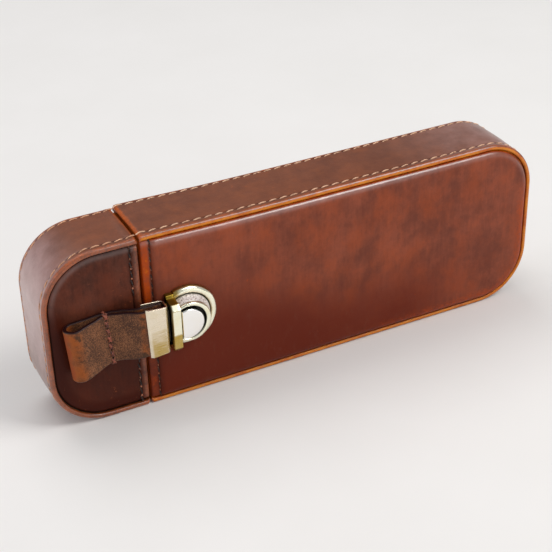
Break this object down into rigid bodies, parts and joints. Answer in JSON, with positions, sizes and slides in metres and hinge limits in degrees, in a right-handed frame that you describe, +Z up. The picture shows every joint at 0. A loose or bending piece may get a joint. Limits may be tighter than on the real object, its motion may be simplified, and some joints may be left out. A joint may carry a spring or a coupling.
{
  "type": "pen case",
  "caption": "Hard leather pen case: stiff body, end cap hinged at the back, front strap with tuck lock and press button, and a sliding tray with pen channels.",
  "frame": {"origin": "middle of the case's length and depth on the long narrow face that it stands on", "axes": "+X along the case away from the cap, -Y the front with the lock, +Z up"},
  "size_m": [0.21, 0.0365, 0.073],
  "materials": {
    "case_leather": "waxed",
    "strap_leather": "waxed",
    "edge_leather": "burnished edge",
    "fibre_board": "raw",
    "foam_sheet": "matte",
    "lining_cloth": "suede",
    "tray_cloth": "velvet",
    "antique_brass": "brushed antique",
    "plated_steel": "plated"
  },
  "bodies": {
    "case_body": {"body_side_band": "case_leather", "body_board_shell": "fibre_board", "body_lining": "lining_cloth", "body_mouth_facing": "edge_leather", "mouth_collar": "edge_leather", "body_front_panel": "case_leather", "body_front_padding": "foam_sheet", "body_back_panel": "case_leather", "hinge_strip": "case_leather", "lock_case": "antique_brass", "lock_base": "plated_steel", "lock_backplate": "plated_steel", "lock_spring": "plated_steel"},
    "cap": {"cap_side_band": "case_leather", "cap_board_shell": "fibre_board", "cap_lining": "lining_cloth", "cap_mouth_facing": "edge_leather", "cap_front_panel": "case_leather", "cap_back_panel": "case_leather", "strap": "strap_leather", "strap_clip": "antique_brass", "clip_pins": "antique_brass"},
    "button": {"lock_button": "antique_brass", "lock_catch": "plated_steel"},
    "tray": {"tray_trough": "fibre_board", "pen_bed": "tray_cloth", "pull_tab": "strap_leather"}
  },
  "joints": [
    {"name": "cap_hinge", "type": "hinge", "parent": "case_body", "child": "cap", "pos_m": [-0.0666, 0.0136, 0.0365], "axis": [0, 0, -1], "range_deg": [0, 150], "deforming": ["hinge_strip"]},
    {"name": "button_press", "type": "slide", "parent": "case_body", "child": "button", "axis": [0, 1, 0], "range_m": [0, 0.001], "stiffness_N_per_m": 1500, "springref_m": -0.0005, "deforming": ["lock_spring"]},
    {"name": "tray_slide", "type": "slide", "parent": "case_body", "child": "tray", "axis": [-1, 0, 0], "range_m": [0, 0.0367]}
  ],
  "couplings": [
    {"joint": "tray_slide", "follows": "cap_hinge", "m_per_rad": 0.014}
  ]
}
